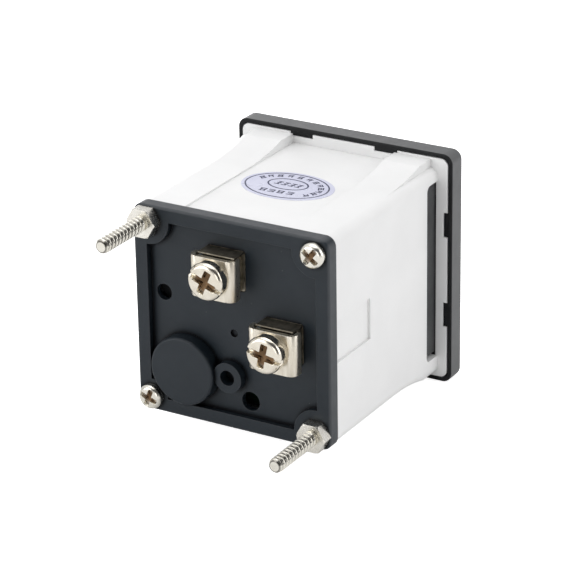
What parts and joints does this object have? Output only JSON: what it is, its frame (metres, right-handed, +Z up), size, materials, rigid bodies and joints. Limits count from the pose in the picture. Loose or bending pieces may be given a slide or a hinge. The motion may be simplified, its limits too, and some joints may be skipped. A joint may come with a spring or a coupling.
{
  "type": "analog panel meter",
  "caption": "Square analog panel meter with a quarter-circle dial, white housing, black rear plate, saddle-clamp terminals and rear mounting studs.",
  "frame": {"origin": "centre of the panel plane, where the bezel's back ring meets the panel", "axes": "+Y to the rear through the panel cut-out, +Z up, +X to the right as seen by someone who reads the dial"},
  "size_m": [0.048, 0.063, 0.048],
  "materials": {
    "black_plastic": "fine matte moulding",
    "white_plastic": "satin moulding",
    "clear_pane": "clear and polished",
    "dial_face": "matte white print ground",
    "pointer_paint": "matte black paint",
    "nickel": "bright nickel plating",
    "zinc": "zinc plating",
    "brass": "turned and stamped brass",
    "aluminium": "plain sheet",
    "copper": "enamelled copper winding",
    "magnet": "ground sintered magnet",
    "soft_iron": "turned soft iron",
    "board": "solder mask over laminate",
    "trimmer_body": "moulded trimmer body",
    "can_sleeve": "shrunk sleeve",
    "resistor_body": "lacquered ceramic",
    "wire_red": "soft insulation",
    "wire_black": "soft insulation",
    "label_film": "printed film"
  },
  "bodies": {
    "root": {"bezel": "black_plastic", "window": "clear_pane", "housing": "white_plastic", "rear_plate": "black_plastic", "dial_frame": "black_plastic", "dial_plate": "dial_face", "corner_cover": "black_plastic", "front_bearing": "brass", "rear_bearing": "brass", "front_bridge": "brass", "rear_bridge": "brass", "yoke": "soft_iron", "core_magnet": "magnet", "core_strap_front": "aluminium", "core_strap_rear": "aluminium", "circuit_board": "board", "trimmer": "trimmer_body", "capacitor": "can_sleeve", "inspection_label": "label_film", "movement_screw_1": "nickel", "movement_screw_2": "nickel", "dial_screw_1": "pointer_paint", "dial_screw_2": "pointer_paint", "resistor_1": "resistor_body", "resistor_2": "resistor_body", "mounting_stud_1": "zinc", "mounting_stud_2": "zinc", "stud_nut_1": "zinc", "stud_nut_2": "zinc", "plate_screw_1": "nickel", "plate_screw_2": "nickel", "terminal_base_1": "nickel", "terminal_base_2": "nickel", "lead_wire_1": "wire_red", "lead_wire_2": "wire_black"},
    "pointer": {"pointer": "pointer_paint", "tail_weight": "brass", "upper_weight": "brass", "lower_weight": "brass", "front_staff": "nickel", "rear_staff": "nickel", "coil_former": "aluminium", "moving_coil": "copper", "front_hairspring": "brass", "rear_hairspring": "brass"},
    "zero_adjuster": {"zero_adjuster": "black_plastic"},
    "zero_lever": {"zero_lever": "brass"},
    "clamp_1": {"terminal_clamp_1": "nickel", "lock_washer_1": "nickel"},
    "clamp_2": {"terminal_clamp_2": "nickel", "lock_washer_2": "nickel"},
    "screw_1": {"terminal_screw_1": "nickel"},
    "screw_2": {"terminal_screw_2": "nickel"}
  },
  "joints": [
    {"name": "pointer_turn", "type": "hinge", "parent": "root", "child": "pointer", "pos_m": [0.0105, 0.002, -0.011], "axis": [0, 1, 0], "range_deg": [0, 90], "stiffness_Nm_per_rad": 0.00002, "deforming": ["front_hairspring", "rear_hairspring"]},
    {"name": "zero_adjust", "type": "hinge", "parent": "root", "child": "zero_adjuster", "pos_m": [0.01432, -0.0025, -0.01482], "axis": [0, 1, 0], "range_deg": [-45, 45]},
    {"name": "zero_lever_turn", "type": "hinge", "parent": "root", "child": "zero_lever", "pos_m": [0.0105, -0.0006, -0.011], "axis": [0, 1, 0], "range_deg": [-7, 7]},
    {"name": "clamp_1_travel", "type": "slide", "parent": "root", "child": "clamp_1", "axis": [0, 1, 0], "range_m": [-0.0021, 0.0014]},
    {"name": "screw_1_turn", "type": "hinge", "parent": "clamp_1", "child": "screw_1", "pos_m": [0.0016, 0.045, 0.011], "axis": [0, 1, 0], "range_deg": [-1080, 720]},
    {"name": "clamp_2_travel", "type": "slide", "parent": "root", "child": "clamp_2", "axis": [0, 1, 0], "range_m": [-0.0021, 0.0014]},
    {"name": "screw_2_turn", "type": "hinge", "parent": "clamp_2", "child": "screw_2", "pos_m": [-0.01065, 0.045, -0.0012], "axis": [0, 1, 0], "range_deg": [-1080, 720]}
  ],
  "couplings": [
    {"joint": "zero_lever_turn", "follows": "zero_adjust", "ratio": 0.1337},
    {"joint": "screw_1_turn", "follows": "clamp_1_travel", "rad_per_m": 8976.7},
    {"joint": "screw_2_turn", "follows": "clamp_2_travel", "rad_per_m": 8976.7}
  ]
}
